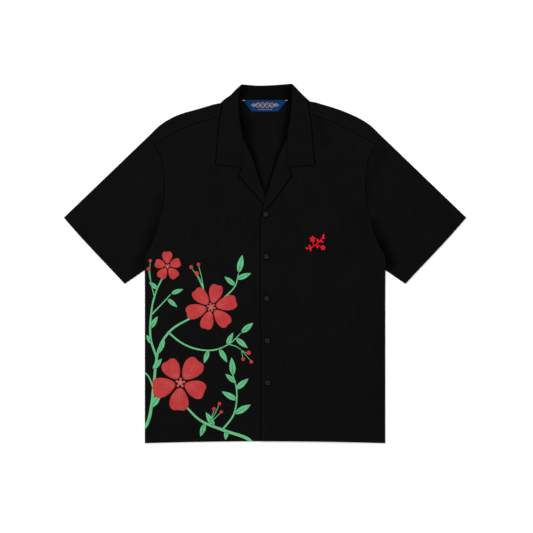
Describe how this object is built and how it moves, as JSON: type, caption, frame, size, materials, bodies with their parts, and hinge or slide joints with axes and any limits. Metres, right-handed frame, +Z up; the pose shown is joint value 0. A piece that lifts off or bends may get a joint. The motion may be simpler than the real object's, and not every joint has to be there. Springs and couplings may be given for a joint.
{
  "type": "camp collar shirt",
  "caption": "Short-sleeved button-up shirt with an open camp collar and turned-back lapels, laid flat on its back with the front up and the buttons fastened.",
  "frame": {"origin": "centre of the bounding box in plan, on the surface the shirt lies on", "axes": "+X to the wearer's left, across the sleeves; +Y up the body, from the hem to the collar; +Z up from the surface"},
  "size_m": [0.885, 0.7893, 0.009],
  "materials": {
    "shirting": "matte black fine twill",
    "facing": "matte black fine twill, interlined",
    "label": "woven blue satin",
    "button": "polished dark resin"
  },
  "bodies": {
    "root": {"back": "shirting", "front_right": "shirting", "front_left": "shirting", "sleeve_right": "shirting", "sleeve_left": "shirting", "lapel_right": "facing", "lapel_left": "facing", "collar": "facing", "neck_label": "label", "button_1": "button", "button_2": "button", "button_3": "button", "button_4": "button", "button_5": "button"}
  },
  "joints": []
}
